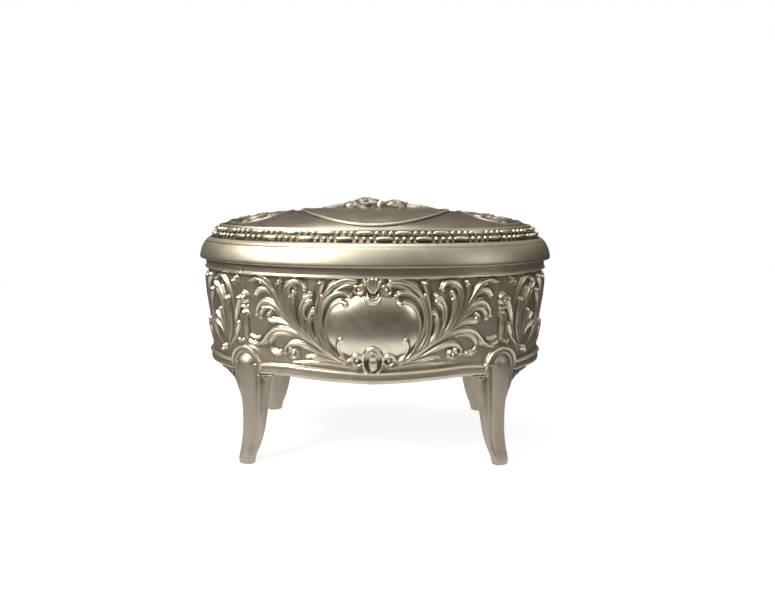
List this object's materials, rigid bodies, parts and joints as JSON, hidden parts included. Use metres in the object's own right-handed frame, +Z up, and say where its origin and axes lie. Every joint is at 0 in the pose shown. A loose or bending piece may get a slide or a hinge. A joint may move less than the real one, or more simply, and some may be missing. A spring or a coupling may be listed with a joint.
{
  "type": "trinket box",
  "caption": "Footed oval trinket box in plated cast metal, with relief scrollwork, a hinged domed lid and a velvet-lined inside.",
  "frame": {"origin": "on the table plane, under the middle of the box", "axes": "+X to the right along the box's length seen from the front, +Y from the front to the hinged back, +Z up"},
  "size_m": [0.115, 0.0763, 0.0814],
  "materials": {
    "plated_casting": "worn satin silver-nickel plate over cast white metal, with darker tarnish in the recesses",
    "floor_sheet": "dull plated sheet",
    "velvet": "short-pile velvet",
    "card": "plain grey-brown card",
    "hinge_brass": "thinly plated brass, satin",
    "hinge_pin_steel": "drawn wire, riveted ends"
  },
  "bodies": {
    "box": {"front_panel": "plated_casting", "back_panel": "plated_casting", "left_panel": "plated_casting", "right_panel": "plated_casting", "leg_front_left": "plated_casting", "leg_front_right": "plated_casting", "leg_back_left": "plated_casting", "leg_back_right": "plated_casting", "floor_plate": "floor_sheet", "wall_lining": "velvet", "floor_pad": "velvet", "floor_card": "card", "hinge_body_leaf": "hinge_brass", "hinge_pin": "hinge_pin_steel"},
    "lid": {"lid_shell": "plated_casting", "plaque": "plated_casting", "lid_card": "card", "lid_pad": "velvet", "hinge_lid_leaf": "hinge_brass"}
  },
  "joints": [
    {"name": "lid_hinge", "type": "hinge", "parent": "box", "child": "lid", "pos_m": [0, 0.0371, 0.0618], "axis": [-1, 0, 0], "range_deg": [0, 105]}
  ]
}
